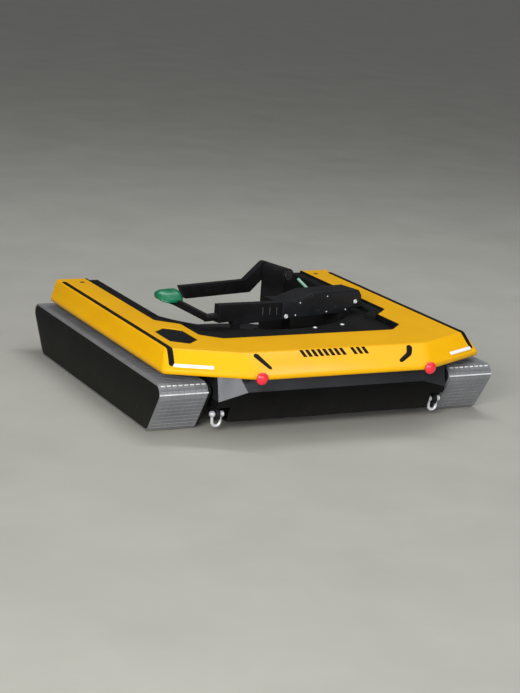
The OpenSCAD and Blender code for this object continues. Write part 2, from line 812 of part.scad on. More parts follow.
lever_pivot_y = beam_face_d / 2 - beam_front;
lever_tip_y = lever_pivot_y + lever_reach;
module foot_lever() {
    pivot_z = beam_z + lever_pivot_h;
    tip_z = lever_tip_z - lever_bar_h;
    side_x = -beam_half_l - lever_gap - lever_t;
    color(black) cradle() {
        translate([side_x, lever_pivot_y, pivot_z]) rotate([0, 90, 0])
            cylinder(r = lever_boss_r, h = lever_gap + lever_t, $fn = round_fn);
        side_profile(side_x, lever_t) polygon([
            [lever_pivot_y, pivot_z - lever_bar_h / 2], [lever_tip_y, tip_z], [lever_tip_y + lever_flat, tip_z],
            [lever_tip_y + lever_flat, lever_tip_z], [lever_tip_y - 4, lever_tip_z],
            [lever_pivot_y, pivot_z + lever_bar_h / 2]]);
    }
}

module lever_grip() {
    right_x = -beam_half_l - grip_gap;
    color("#1fa06a") cradle() translate([right_x - grip_l / 2, lever_tip_y + grip_w / 2 - 4, lever_tip_z + grip_h / 2 + eps])
        intersection() {
            rotate([90, 0, 90]) translate([0, 0, -grip_l / 2]) linear_extrude(grip_l) rounded(grip_w, grip_h, grip_h * 0.4);
            translate([0, 0, -grip_h / 2]) linear_extrude(grip_h) rounded(grip_l, grip_w, grip_w * 0.4);
        }
}

// Rod that leans back and to the right from the beam's rear face
rod_lean = 80;
rod_turn = 16;
module latch_rod() {
    foot_gap = rod_r * (cos(rod_lean) + sin(rod_turn)) + seat_gap;
    color("#7fd3ae") cradle() translate([rod_x, beam_d - beam_front + foot_gap, beam_top - 20])
        rotate([-rod_lean, 0, -rod_turn]) cylinder(r = rod_r, h = rod_l, $fn = 32);
}

deck_cover();
cover_skirts();
control_panel();
deck_plate();
chassis_frame();
belly_plate();
well_wall();
rear_sill();
battery_pack();
drive_unit(-1);  // drive_unit_l
drive_unit(1);  // drive_unit_r
front_band();
front_apron();
left() stop_button();  // stop_button_l
stop_button();  // stop_button_r
left() light_bar();  // light_bar_l
light_bar();  // light_bar_r
left() tow_lug();  // tow_lug_l
tow_lug();  // tow_lug_r
left() shackle();  // shackle_l
shackle();  // shackle_r
left() belt();  // belt_l
belt();  // belt_r
left() outer_guard();  // outer_guard_l
outer_guard();  // outer_guard_r
left() inner_guard();  // inner_guard_l
inner_guard();  // inner_guard_r
left() track_beam();  // track_beam_l
track_beam();  // track_beam_r
left() rollers();  // rollers_l
rollers();  // rollers_r
slewing_ring();
turntable();
beam_posts();
gate_beam();
arm_post();
retaining_arm();
tyre_pad();
foot_lever();
lever_grip();
latch_rod();
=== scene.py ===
# The camera stands where the photograph was taken from, about 6 m off at head height, left of the front.
# It is turned to the tractor and its lens is longer, so that the small vehicle fills the picture.
# The horizon leans by the photograph's 3.9 degrees, which the camera's right-hand direction holds.
import math
import bmesh
import bpy
import numpy as np
from mathutils import Matrix, Vector


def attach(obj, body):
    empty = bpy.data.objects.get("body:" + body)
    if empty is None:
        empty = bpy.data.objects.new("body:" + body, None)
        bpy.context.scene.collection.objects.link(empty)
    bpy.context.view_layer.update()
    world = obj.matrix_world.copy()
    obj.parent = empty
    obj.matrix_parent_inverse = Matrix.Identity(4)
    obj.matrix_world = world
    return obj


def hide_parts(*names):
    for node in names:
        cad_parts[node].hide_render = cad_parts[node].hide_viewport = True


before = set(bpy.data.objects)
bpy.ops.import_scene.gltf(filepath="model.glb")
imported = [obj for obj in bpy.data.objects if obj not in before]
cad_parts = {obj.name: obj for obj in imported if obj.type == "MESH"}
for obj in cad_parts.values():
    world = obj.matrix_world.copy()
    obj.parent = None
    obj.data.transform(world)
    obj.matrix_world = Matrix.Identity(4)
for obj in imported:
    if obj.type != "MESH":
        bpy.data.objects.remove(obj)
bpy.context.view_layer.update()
scene = bpy.context.scene
scene.view_settings.view_transform = "Standard"
stand_point, aim_point = Vector((-2.784, -5.389, 1.658)), Vector((0, 0.01, 0.13))
forward = (aim_point - stand_point).normalized()
right = Vector((0.8966, -0.4380, 0.0661))
right = (right - forward * right.dot(forward)).normalized()
camera = bpy.data.objects.new("camera", bpy.data.cameras.new("camera"))
camera.data.lens = 94.9
camera.matrix_world = Matrix.Translation(stand_point) @ Matrix(
    (right, right.cross(forward), -forward)).transposed().to_4x4()
scene.collection.objects.link(camera)
scene.camera = camera


# Floor: a sealed concrete slab, warm grey and faintly mottled, that reaches far behind the vehicle.
# Light: one big soft window at the front left, a low slit beside it, and a soft ceiling.
# The sky is a plain gradient, paler towards the window.
def shader(name):
    """A new material and a short way to add nodes: a socket given as a value is linked."""
    made = bpy.data.materials.new(name)
    made.use_nodes = True
    tree = made.node_tree
    tree.nodes.clear()

    def add(kind, inputs, out=0, **settings):
        item = tree.nodes.new("ShaderNode" + kind)
        for key, value in settings.items():
            setattr(item, key, value)
        for key, value in inputs.items():
            if isinstance(value, bpy.types.NodeSocket):
                tree.links.new(value, item.inputs[key])
            else:
                item.inputs[key].default_value = value
        return item.outputs[out]
    return made, add, tree.nodes.new("ShaderNodeOutputMaterial").inputs["Surface"]


def ramp(add, value, *stops):
    """A colour ramp through (position, colour) pairs, driven by value."""
    made = add("ValToRGB", {"Fac": value})
    band = made.node.color_ramp
    while len(band.elements) < len(stops):
        band.elements.new(0.5)
    for element, (place, colour) in zip(band.elements, stops):
        element.position, element.color = place, (*colour, 1)
    return made


def mix(add, share, a, b, way="MIX"):
    """Colour a, and by the share colour b, or a times b."""
    return add("Mix", {0: share, 6: a, 7: b}, 2, data_type="RGBA", blend_type=way)


def surface(name, dark, light, rough, patches=5.0, grain=900.0, grain_depth=0.00008, metal=0.0,
            coat=0.0, coat_rough=0.25, gloss=0.35, scratch=0.0, dust=0.0, soil=0.0, flakes=0.0):
    """Colour between dark and light by slow patches; fine grain as bump; thin pale scratches; dust on
    what faces up; soil that fades upwards from the ground; roughness between the two values of rough."""
    made, add, end = shader(name)
    place = add("TexCoord", {}, 3)
    slow = add("TexNoise", {"Vector": place, "Scale": patches, "Detail": 7.0, "Roughness": 0.62})
    colour = ramp(add, slow, (0.32, dark), (0.68, light))
    fine = add("TexNoise", {"Vector": place, "Scale": grain, "Detail": 2.0})
    if flakes:
        cell = add("TexVoronoi", {"Vector": place, "Scale": flakes}, 1)
        colour = mix(add, 0.35, colour, mix(add, 1.0, colour, cell, "MULTIPLY"))
    long_grid = add("Mapping", {"Vector": place, "Scale": (9, 140, 60), "Rotation": (0.3, 0.2, 0.5)})
    wear_and_painted_highlight = add("TexNoise", {"Vector": long_grid, "Scale": 1.0, "Detail": 5.0, "Roughness": 0.7})
    mark = ramp(add, wear_and_painted_highlight, (0.66, (0, 0, 0)), (0.71, (scratch,) * 3))
    bare = (*[min(1.0, 0.25 + 1.6 * c) for c in light], 1)
    colour = mix(add, mark, colour, bare)
    if dust or soil:
        up = add("SeparateXYZ", {0: add("NewGeometry", {}, 1)}, 2)
        high = add("SeparateXYZ", {0: place}, 2)
        cloud = add("TexNoise", {"Vector": place, "Scale": 14.0, "Detail": 8.0, "Roughness": 0.7})
        lie = add("MapRange", {"Value": up, "From Min": 0.75, "From Max": 1.0,
                               "To Min": 0.0, "To Max": dust})
        low = add("MapRange", {"Value": high, "From Min": 0.015, "From Max": 0.13,
                               "To Min": soil, "To Max": 0.0})
        both = add("Math", {0: lie, 1: low}, operation="ADD")
        share = add("Math", {0: cloud, 1: both}, operation="MULTIPLY", use_clamp=True)
        dust_colour = (0.34, 0.32, 0.28, 1)
        colour = mix(add, share, colour, dust_colour)
    shine = add("MapRange", {"Value": slow, "From Min": 0.3, "From Max": 0.7,
                             "To Min": rough[0], "To Max": rough[1]})
    bump = add("Bump", {"Height": fine, "Strength": 0.5, "Distance": grain_depth})
    bump = add("Bump", {"Height": mark, "Strength": 0.3, "Distance": 0.0001, "Normal": bump})
    whole = add("BsdfPrincipled", {"Base Color": colour, "Roughness": shine, "Metallic": metal,
                                   "Coat Weight": coat, "Coat Roughness": coat_rough,
                                   "Specular IOR Level": gloss, "Normal": bump})
    made.node_tree.links.new(whole, end)
    return made


concrete = surface("floor_concrete", (0.375, 0.366, 0.328), (0.41, 0.40, 0.36), (0.62, 0.78),
                   patches=2.5, grain=220, grain_depth=0.0003, gloss=0.15)
far = 60.0
floor_mesh = bpy.data.meshes.new("floor")
floor_mesh.from_pydata([(-far, -far, 0), (far, -far, 0), (far, far, 0), (-far, far, 0)], [],
                       [(0, 1, 2, 3)])
floor_mesh.materials.append(concrete)
floor = bpy.data.objects.new("floor", floor_mesh)
scene.collection.objects.link(floor)
world = bpy.data.worlds.new("sky")
world.use_nodes = True
nodes, links = world.node_tree.nodes, world.node_tree.links
toward = nodes.new("ShaderNodeVectorMath")
toward.operation = "DOT_PRODUCT"
toward.inputs[1].default_value = (-0.50, -0.62, 0.60)
links.new(nodes.new("ShaderNodeTexCoord").outputs["Generated"], toward.inputs[0])
sky = nodes.new("ShaderNodeValToRGB")
links.new(toward.outputs["Value"], sky.inputs["Fac"])
for element, place, tone in zip(sky.color_ramp.elements, (0.0, 0.9), (0.085, 0.62)):
    element.position, element.color = place, (tone, tone * 1.03, tone * 1.08, 1)
links.new(sky.outputs["Color"], nodes["Background"].inputs["Color"])
nodes["Background"].inputs["Strength"].default_value = 0.75
scene.world = world
warm, cool, ceiling_white = (1.0, 0.99, 0.965), (0.92, 0.95, 1.0), (0.95, 0.975, 1.0)
# Columns: name, place, width and height, watts, colour.
lamps = [("window_light", (-4.4, -5.0, 2.75), (3.2, 2.4), 385, warm),
         ("window_slit", (0.5, -6.5, 1.3), (2.2, 0.9), 125, cool),
         ("ceiling_strip", (0.9, 1.2, 4.2), (3.2, 0.35), 70, ceiling_white),
         ("ceiling_soft", (1.5, -0.5, 5.0), (4.0, 4.0), 60, ceiling_white)]
lamp_aim = Vector((0, 0, 0.1))
for name, place, size, power, tint in lamps:
    lamp = bpy.data.objects.new(name, bpy.data.lights.new(name, "AREA"))
    lamp.data.shape, lamp.data.size, lamp.data.size_y = "RECTANGLE", *size
    lamp.data.energy, lamp.data.color = power, tint
    lamp.location = place
    lamp.rotation_euler = (lamp_aim - Vector(place)).to_track_quat("-Z", "Y").to_euler()
    scene.collection.objects.link(lamp)


# Cover: one folded hood of thin glass-fibre sheet round a slot that is open at the back, sprayed amber.
# Its folds and rims are moulded with a soft radius, and a lip hangs 12 mm below the rim all round.
def fillet(points, reach, steps=5):
    """Each corner P of a closed line becomes the curve (1-t)^2 A + 2t(1-t) P + t^2 B, with A and B on
    its two sides, `reach` away from it."""
    points = np.asarray(points, float)
    back, on = np.roll(points, 1, 0) - points, np.roll(points, -1, 0) - points
    lengths = [np.linalg.norm(v, axis=1, keepdims=True) for v in (back, on)]
    wanted = np.broadcast_to(np.reshape(reach, (-1, 1)), (len(points), 1))
    cut = np.minimum(wanted, 0.45 * np.minimum(*lengths))
    a, b = points + back / lengths[0] * cut, points + on / lengths[1] * cut
    t = np.linspace(0, 1, steps)[None, :, None]
    bent = (1 - t) ** 2 * a[:, None] + 2 * t * (1 - t) * points[:, None] + t * t * b[:, None]
    return bent.reshape(-1, points.shape[1])


def loft(rings, loop=False, caps=True):
    """Points p[i, j] of closed ring i at step j, joined by quads to ring i + 1; caps close the first and
    the last ring, or loop joins the last to the first."""
    rings = np.asarray(rings, float)
    n, m = rings.shape[:2]
    here = np.arange(n * m).reshape(n, m)
    side = np.roll(here, -1, 1)
    if loop:
        a, b, c, d = here, side, np.roll(side, -1, 0), np.roll(here, -1, 0)
    else:
        a, b, c, d = here[:-1], side[:-1], side[1:], here[1:]
    faces = [np.stack([a, b, c, d], -1).reshape(-1, 4)]
    if caps and not loop:
        faces.append(np.stack([here[0][::-1], here[-1]]))
    return rings.reshape(-1, 3), faces


def join(parts):
    """Several (points, faces) forms as one, the faces' numbers moved on by the points before them."""
    starts = np.cumsum([0] + [len(p) for p, _ in parts])
    return np.concatenate([p for p, _ in parts]), [f + s for (_, fs), s in zip(parts, starts) for f in fs]


def new_mesh(name, form):
    """A mesh from a form's point and face arrays."""
    points, faces = form
    mesh = bpy.data.meshes.new(name)
    mesh.from_pydata(points.tolist(), [], [f for some in faces for f in some.tolist()])
    return mesh


def placed(name, mesh, body, finish, smooth):
    """The mesh as an object on its body, smooth where it bends less than `smooth` degrees."""
    mesh.shade_smooth()
    mesh.set_sharp_from_angle(angle=math.radians(smooth))
    made = bpy.data.objects.new(name, mesh)
    scene.collection.objects.link(made)
    mesh.materials.append(finish)
    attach(made, body)
    return made


def piece(name, form, body, finish, smooth=35, stands_for=()):
    """A finished piece from a form of closed surfaces, whose faces are turned outwards."""
    mesh = new_mesh(name, form)
    work = bmesh.new()
    work.from_mesh(mesh)
    bmesh.ops.recalc_face_normals(work, faces=work.faces)
    work.to_mesh(mesh)
    work.free()
    made = placed(name, mesh, body, finish, smooth)
    if stands_for:
        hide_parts(*stands_for)
    return made


def mirrored(form):
    """The same form on the other side of the vehicle: x becomes -x."""
    return form[0] * (-1, 1, 1), [f[:, ::-1] for f in form[1]]


def flat_ring(line, z):
    """A line seen from above, at the height z."""
    return np.column_stack([line, np.full(len(line), z)])


yellow = surface("yellow_paint", (0.76, 0.375, 0.001), (0.83, 0.425, 0.0015), (0.34, 0.44), patches=3.0,
                 grain=420, grain_depth=0.00006, scratch=0.03, gloss=0.13, coat=0.12, coat_rough=0.20)
deck_z, slope_drop, lip_z = 0.262, 0.055, 0.195
side_run, sweep_run, front_run = 0.028, 0.059, 0.081
side_x, side_limit, fold_y, nose_x = 0.545, 0.573, -0.518, 0.330
rear_y, rear_cut_x = 0.562, 0.539
slot_x, slot_mid_x, slot_front_x = 0.432, 0.367, 0.310
slot_bend_y, slot_front_y = -0.068, -0.335
sweep_angle = math.radians(-64)
sweep_n = np.array([math.cos(sweep_angle), math.sin(sweep_angle)])
other_side = np.array([-1, 1])


def meet(n1, d1, n2, d2):
    """Where the lines n1.p = d1 and n2.p = d2 cross."""
    return np.linalg.solve(np.array([n1, n2]), np.array([d1, d2]))


def hood_line(fall, gap):
    """The hood's closed outline seen from above, ten outer corners and eight round the opening. fall is
    the share of the slope gone down, 0 at the fold and 1 at the rim, which moves each side out by its own
    run; gap widens the opening between the arms, and its slanting sides by 0.4 of that."""
    side, sweep = side_x + side_run * fall, sweep_n @ (nose_x, fold_y) + sweep_run * fall
    corner = meet((1, 0), side, sweep_n, sweep)
    nose = meet(sweep_n, sweep, (0, -1), front_run * fall - fold_y)
    end = min(side, side_limit)
    part = 0.4 * gap
    outer = [[slot_x + gap, rear_y], [rear_cut_x, rear_y], [end, rear_y + rear_cut_x - end], corner, nose]
    inner = [[slot_front_x + part, slot_front_y - gap],
             [slot_mid_x + gap, slot_front_y + slot_mid_x - slot_front_x - part],
             [slot_mid_x + gap, slot_bend_y + slot_mid_x - slot_x - part],
             [slot_x + gap, slot_bend_y - part]]
    outer, inner = np.array(outer), np.array(inner)
    return np.concatenate([outer, (outer * other_side)[::-1], (inner * other_side)[::-1], inner])


corner_steps = 5
# How far each corner is rounded: ten outer ones from the right arm's rear round the front to the left
# arm's rear, then eight round the opening from the left arm's bend to the right arm's.
corner_reach = np.array([2, 4, 4, 14, 20, 20, 14, 4, 4, 2, 6, 10, 10, 6, 6, 10, 10, 6]) * 0.001
is_outer = np.repeat([True] * 10 + [False] * 8, corner_steps)
# Columns: share of the slope gone down, height (None on the slope), widening of the opening, height there.
ring_table = [(1, lip_z, 0, 0.243), (1, 0.2035, 0, 0.245), (0.997, 0.2062, 0, 0.248),
              (0.985, 0.2086, 0, 0.25), (0.95, None, 0, 0.252), (0.5, None, 0, 0.255),
              (0.10, None, 0, 0.2585), (0.03, 0.2599, 0.0006, 0.2606), (-0.03, 0.2612, 0.0016, 0.2615),
              (-0.10, 0.2619, 0.003, 0.2619), (-0.2, deck_z, 0.005, deck_z)]
hood_rings = []
for fall, z, gap, low in ring_table:
    height = np.where(is_outer, deck_z - slope_drop * fall if z is None else z, low)
    hood_rings.append(np.column_stack([fillet(hood_line(fall, gap), corner_reach, corner_steps), height]))
hood_rings = np.array(hood_rings)
hood_rings[:, :corner_steps, 1] = np.minimum(hood_rings[:, :corner_steps, 1], rear_y)
points, faces = loft(hood_rings, caps=False)
count = hood_rings.shape[1]
panel_at = np.array([-0.448, -0.275])
panel_line = np.array([[0, 0.104], [0.048, 0.062], [0.048, -0.062], [0, -0.104], [-0.048, -0.062],
                       [-0.048, 0.062]])
recess = [flat_ring(panel_at + panel_line * k, z) for k, z in ((1.012, deck_z), (1.0, 0.2612), (1.0, 0.2575))]
hex_points, hex_faces = loft(recess, caps=False)
top, hole = len(points) - count, len(points)
near_side, near_slot = top + 6 * corner_steps + 2, top + 12 * corner_steps + 2
# The flat top is two faces that meet on both sides of the sunk hexagon.
left_part = [*range(near_side, near_slot + 1), hole + 1, hole, hole + 5, hole + 4]
rest = [*range(near_slot, top + count), *range(top, near_side + 1), hole + 4, hole + 3, hole + 2, hole + 1]
faces += [f + hole for f in hex_faces] + [np.array([left_part]), np.array([rest])]
hood = piece("cover_hood", (np.concatenate([points, hex_points]), faces), "chassis",
             yellow, smooth=28, stands_for=("deck_cover", "cover_skirts"))
sheet = hood.modifiers.new("thickness", "SOLIDIFY")
sheet.thickness, sheet.offset = 0.0035, -1


# Edge guard: a black rubber channel pressed on to the hood's edge all round the opening.
# It hides the sheet's cut edge, so the paint ends in a clean black line above the deck plate.
def sweep(path, section, across):
    """A section of (s, t) pairs carried along a path that lies in a plane with the normal `across`:
    p = path + s n + t across, where n = across x direction, unit length."""
    path, section, across = (np.asarray(v, float) for v in (path, section, across))
    n = np.cross(across, np.gradient(path, axis=0))
    n /= np.linalg.norm(n, axis=1, keepdims=True)
    return loft(path[:, None] + section[None, :, :1] * n[:, None] + section[None, :, 1:] * across)


rubber = surface("edge_rubber", (0.0045, 0.0045, 0.005), (0.009, 0.009, 0.0095), (0.5, 0.65),
                 patches=30, grain=1200, gloss=0.10)
inner = hood_line(0, 0)[np.r_[0, 17:8:-1]]
inner = np.concatenate([inner[:1], fillet(inner, 0.008)[5:-5], inner[-1:]])
inner[[0, -1], 1] = rear_y - 0.004
# Columns: distance inwards from the hood's edge, height.
channel = fillet([[0.0005, 0.2426], [0.0005, 0.2622], [0.0040, 0.2622], [0.0040, 0.2632],
                  [-0.0022, 0.2632], [-0.0022, 0.2426]], [0.0002, 0.0002, 0.0004, 0.0006, 0.0018, 0.0006], 4)
piece("opening_edge_guard", sweep(flat_ring(inner, 0), channel, (0, 0, 1)), "chassis", rubber)


def around(radius, sides=16):
    """A circle of (s, t) pairs."""
    u = np.linspace(0, 2 * np.pi, sides, endpoint=False)
    return np.column_stack([np.cos(u), np.sin(u)]) * radius


# Arm strips: a black moulded strip on each arm fills the step between the hood and the well's edge.
# It is 4.5 mm lower than the hood, so the turning beam's ends pass over it, and is glued to the plate.
def along(corners, reach, gap):
    """Points every `gap` along an open line whose corners are rounded as fillet does, ends kept."""
    corners = np.asarray(corners, float)
    bend_steps = 7
    bent = fillet(corners, reach, bend_steps).reshape(len(corners), bend_steps, -1)
    line = np.concatenate([corners[:1], bent[1:-1].reshape(-1, corners.shape[1]), corners[-1:]])
    run = np.concatenate([[0], np.cumsum(np.linalg.norm(np.diff(line, axis=0), axis=1))])
    at = np.linspace(0, run[-1], max(3, int(run[-1] / gap) + 1))
    return np.column_stack([np.interp(at, run, line[:, k]) for k in range(line.shape[1])])


strip_rear_y, outer_bend, outer_slant = 0.5530, np.array([0.4294, -0.0669]), 0.065
inner_bend, inner_slant, bend_share = np.array([0.3885, -0.0500]), 0.050, 0.868
outer_line = along([[outer_bend[0], strip_rear_y], outer_bend, outer_bend - outer_slant], 0.004, 0.012)
inner_corners = np.array([[inner_bend[0], strip_rear_y], inner_bend, inner_bend - inner_slant])
part_way = np.linspace(0, 1, len(outer_line))
inner_line = np.column_stack([np.interp(part_way, [0, bend_share, 1], inner_corners[:, k]) for k in (0, 1)])
# Columns: share of the way from the outer to the inner line, height.
strip_section = np.array([[0, 0.2434], [0, 0.2555], [0.02, 0.2569], [0.07, 0.2575], [0.5, 0.2576],
                          [0.93, 0.2575], [0.98, 0.2569], [1, 0.2555], [1, 0.2434]])
share, height = strip_section[:, :1], strip_section[:, 1]
arm_strip = loft([np.column_stack([(1 - share) * a + share * b, height])
                  for a, b in zip(outer_line, inner_line)])
piece("arm_strips", join([arm_strip, mirrored(arm_strip)]), "chassis", rubber)


# Trim lines: a narrow black strip lies along each side fold and bends down the corner slope; two short
# ones cross the front slope. They are thin soft-edged rubber profiles, glued on, with rounded ends.
def ribbon(path, facing, width, height):
    """A flat strip: p = path + u across + h facing, across = facing x direction; u narrows to a half
    round at both ends."""
    path, facing = np.asarray(path, float), np.asarray(facing, float)
    run = np.concatenate([[0], np.cumsum(np.linalg.norm(np.diff(path, axis=0), axis=1))])
    across = np.cross(facing, np.gradient(path, axis=0))
    across /= np.linalg.norm(across, axis=1, keepdims=True)
    near = np.clip(np.minimum(run, run[-1] - run) / (np.max(width) / 2), 0.04, 1)
    half = np.asarray(width) / 2 * np.sqrt(1 - (1 - near) ** 2)
    u = np.array([-1, -1, -0.8, 0, 0.8, 1, 1])
    h = np.array([-1, 0.45, 0.9, 1, 0.9, 0.45, -1]) * height
    return loft(path[:, None] + (half[:, None] * u)[..., None] * across[:, None]
                + h[None, :, None] * facing[:, None])


def on_front(flat):
    """Points (x, y) lifted on to the front slope."""
    flat = np.asarray(flat, float)
    return np.column_stack([flat, deck_z + (flat[:, 1] - fold_y) * slope_drop / front_run])


trim = surface("trim_rubber", (0.0035, 0.0035, 0.004), (0.007, 0.007, 0.0075), (0.5, 0.65), patches=40,
               gloss=0.08)
front_up = np.array([0, -0.562, 0.827])
sweep_up = np.array([-sweep_n[0] * slope_drop, sweep_n[1] * slope_drop, sweep_run])
sweep_up /= np.linalg.norm(sweep_up)
rear_end, bend, low_end = [-0.5325, 0.516, 0.2620], [-0.5325, -0.4190, 0.2620], [-0.5434, -0.4665, 0.2179]
line = along([rear_end, bend, low_end], 0.020, 0.003)
past_fold = line[:, :2] @ (sweep_n * other_side) - sweep_n @ (nose_x, fold_y)
# Columns: distance past the corner fold, height of the hood there.
fold_profile = np.array([[-0.0118, 0.262], [-0.0059, 0.2619], [-0.0018, 0.2612], [0.0018, 0.2599],
                         [0.0059, 0.2565], [0.059, 0.207]])
line[:, 2] = np.interp(past_fold, *fold_profile.T)
turn = np.clip((past_fold + 0.006) / 0.012, 0, 1)[:, None]
facing = np.array([0, 0, 1.0]) * (1 - turn) + sweep_up * turn
facing /= np.linalg.norm(facing, axis=1, keepdims=True)
strip = ribbon(line + facing * 0.0004, facing, 0.0165 + 0.0010 * turn[:, 0], 0.0012)
left_short = [[-0.2935, -0.5245], [-0.2572, -0.5775]]
right_short = [[0.264, -0.5245], [0.249, -0.553], [0.202, -0.5785]]
shorts = []
for corners in (left_short, right_short):
    line = along(on_front(corners), 0.010, 0.003)
    upward = np.tile(front_up, (len(line), 1))
    shorts.append(ribbon(line + front_up * 0.0003, upward, np.linspace(0.0200, 0.0125, len(line)), 0.001))
piece("trim_lines", join([strip, mirrored(strip)] + shorts), "chassis", trim)

# Mark on the front slope: a plain row of slanted bars, cut from thin film and laid on the paint.
# The row stands for nothing: eight bars, a gap, and three bars.
bar_pitch, first_bar_x, bar_y = 0.0202, -0.126, -0.5320
one_bar = np.array([[-0.0092, 0.0145], [0.0030, 0.0145], [0.0092, -0.0145], [-0.0030, -0.0145]])
one_bar = fillet(one_bar * (1, 0.83), 0.0012, 4)
bars = []
for place in (*range(8), *range(9, 12)):
    flat = on_front(one_bar + (first_bar_x + place * bar_pitch, bar_y))
    bars.append(loft([flat + front_up * h for h in (0.0001, 0.0005)]))
piece("slope_bars", join(bars), "chassis", trim)


# Control field: a sunk six-sided plate beside the opening, a moulded black insert with a soft rim.
# Nothing on it can be made out in the photograph, so it stays plain, held by six small screws.
# Two rubber plugs close holes near the arms' ends, and two bright screws hold the plate below.
def lathe(profile, at, axis, steps=32):
    """Each profile pair (radius r, height h) turned about an axis:
    p = at + h axis + r (cos u e1 + sin u e2)."""
    axis = np.asarray(axis, float) / np.linalg.norm(axis)
    e1 = np.cross(axis, (0.0, 0.0, 1.0) if abs(axis[2]) < 0.9 else (1.0, 0.0, 0.0))
    e1 /= np.linalg.norm(e1)
    e2 = np.cross(axis, e1)
    u = np.linspace(0, 2 * np.pi, steps, endpoint=False)
    r, h = np.asarray(profile, float).T
    spokes = np.cos(u)[:, None] * e1 + np.sin(u)[:, None] * e2
    return loft(np.asarray(at, float) + h[:, None, None] * axis + r[:, None, None] * spokes[None])


def studs(spots, axis, r, h, steps=14):
    """Domed socket screws: the profile (radius, height) below is turned about the axis at each spot."""
    shape = np.array([[1, -0.1], [1, 0.45], [0.9, 0.8], [0.68, 1], [0.5, 1], [0.46, 0.4]]) * (r, h)
    one, faces = lathe(shape, (0, 0, 0), axis, steps)
    return join([(one + spot, faces) for spot in np.asarray(spots, float)])


panel_finish = surface("panel_plastic", (0.0035, 0.0035, 0.004), (0.0075, 0.0075, 0.008), (0.42, 0.55),
                       patches=18, gloss=0.10)
zinc = surface("zinc_screws", (0.62, 0.63, 0.64), (0.80, 0.80, 0.80), (0.3, 0.42), patches=120,
               metal=0.4, grain=1500, gloss=0.6)
dark_bolt = surface("black_screws", (0.02, 0.02, 0.022), (0.05, 0.05, 0.055), (0.35, 0.5), patches=150,
                    metal=0.5)
plug_rubber = surface("plug_rubber", (0.020, 0.006, 0.003), (0.034, 0.011, 0.006), (0.5, 0.6), patches=90)
upright = (0, 0, 1)
field = fillet(panel_line, 0.004, 5)
# Columns: share of the field's outline, height.
field_steps = [(0.985, 0.2580), (0.985, 0.2598), (0.975, 0.2605), (0.93, 0.2605), (0.915, 0.2597),
               (0.90, 0.2595)]
piece("control_field", loft([flat_ring(panel_at + field * k, z) for k, z in field_steps]), "chassis",
      panel_finish, stands_for=("control_panel",))
piece("control_field_screws", studs(flat_ring(panel_at + panel_line * 0.86, 0.2594), upright, 0.0026, 0.0012),
      "chassis", dark_bolt)
plug_spots = [[side * 0.4679, 0.5028, 0.2622] for side in (-1, 1)]
piece("arm_end_plugs", studs(plug_spots, upright, 0.0085, 0.0010, 24), "chassis", plug_rubber)
plate_spots = [[0.0949, -0.1965, 0.2432], [0.2113, -0.1735, 0.2432]]
piece("deck_plate_screws", studs(plate_spots, upright, 0.0075, 0.0022, 20), "chassis", zinc)


# Deck plate and chassis: laser-cut and folded black steel plates, powder coated, with eased edges.
# The plate lies 19 mm below the hood's top and carries it; the walls stand on the belly plate.
def softened(name, nodes, reach, body, finish, turn=28):
    """The CAD shape itself with softer edges: triangles merged and flat faces made whole, then every
    edge that turns more than `turn` degrees rounded by `reach`."""
    work = bmesh.new()
    for node in nodes:
        work.from_mesh(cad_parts[node].data)
    bmesh.ops.remove_doubles(work, verts=work.verts, dist=2e-6)
    bmesh.ops.dissolve_limit(work, angle_limit=math.radians(0.5), verts=work.verts, edges=work.edges)
    mesh = bpy.data.meshes.new(name)
    work.to_mesh(mesh)
    work.free()
    made = placed(name, mesh, body, finish, 40)
    edge = made.modifiers.new("soft_edges", "BEVEL")
    edge.width, edge.segments, edge.harden_normals = reach, 3, True
    edge.limit_method, edge.angle_limit = "ANGLE", math.radians(turn)
    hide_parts(*nodes)
    return made


black = surface("black_coat", (0.006, 0.006, 0.0065), (0.012, 0.012, 0.013), (0.36, 0.5), gloss=0.12,
                patches=7, grain=700, grain_depth=0.0001, scratch=0.08, dust=0.02)
plate = surface("plate_coat", (0.0035, 0.0035, 0.004), (0.007, 0.007, 0.0075), (0.45, 0.6), gloss=0.07,
                patches=6, grain=520, grain_depth=0.00015, scratch=0.06, dust=0.02, soil=0.10)
case = surface("case_paint", (0.03, 0.033, 0.037), (0.045, 0.05, 0.055), (0.45, 0.6), patches=9, dust=0.1)
for name, node, reach in (("deck_sheet", "deck_plate", 0.0015), ("chassis_walls", "chassis_frame", 0.001),
                          ("belly_sheet", "belly_plate", 0.0015), ("well_sheet", "well_wall", 0.001),
                          ("sill_plate", "rear_sill", 0.0015)):
    softened(name, [node], reach, "chassis", plate)
for node in ("battery_pack", "drive_unit_l", "drive_unit_r"):
    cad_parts[node].material_slots[0].material = case

# Front: a steel band that leans back under the hood's lip, and below it an apron folded the other way.
# Both are 5 mm plate; the corner faces of the band are swept back and catch a colder light.
front_coat = surface("front_coat", (0.014, 0.0145, 0.017), (0.021, 0.0215, 0.025), (0.26, 0.34),
                     patches=6, grain=600, scratch=0.12, soil=0.08, gloss=0.5)
apron_coat = surface("apron_coat", (0.0024, 0.0024, 0.0025), (0.0045, 0.0045, 0.0047), (0.42, 0.56),
                     patches=6, grain=600, scratch=0.10, soil=0.05, gloss=0.07)
softened("front_band_plate", ["front_band"], 0.0025, "chassis", front_coat, turn=6)
softened("front_apron_plate", ["front_apron"], 0.0025, "chassis", apron_coat, turn=6)

# Stop buttons: two red mushroom heads on short black stems, turned plastic, one at each end of the rim.
# The head is 40 mm across with a rolled edge and a shallow dome.
red = surface("red_plastic", (0.72, 0.020, 0.038), (0.82, 0.030, 0.052), (0.22, 0.32), patches=60, coat=0.3)
mm = 0.001
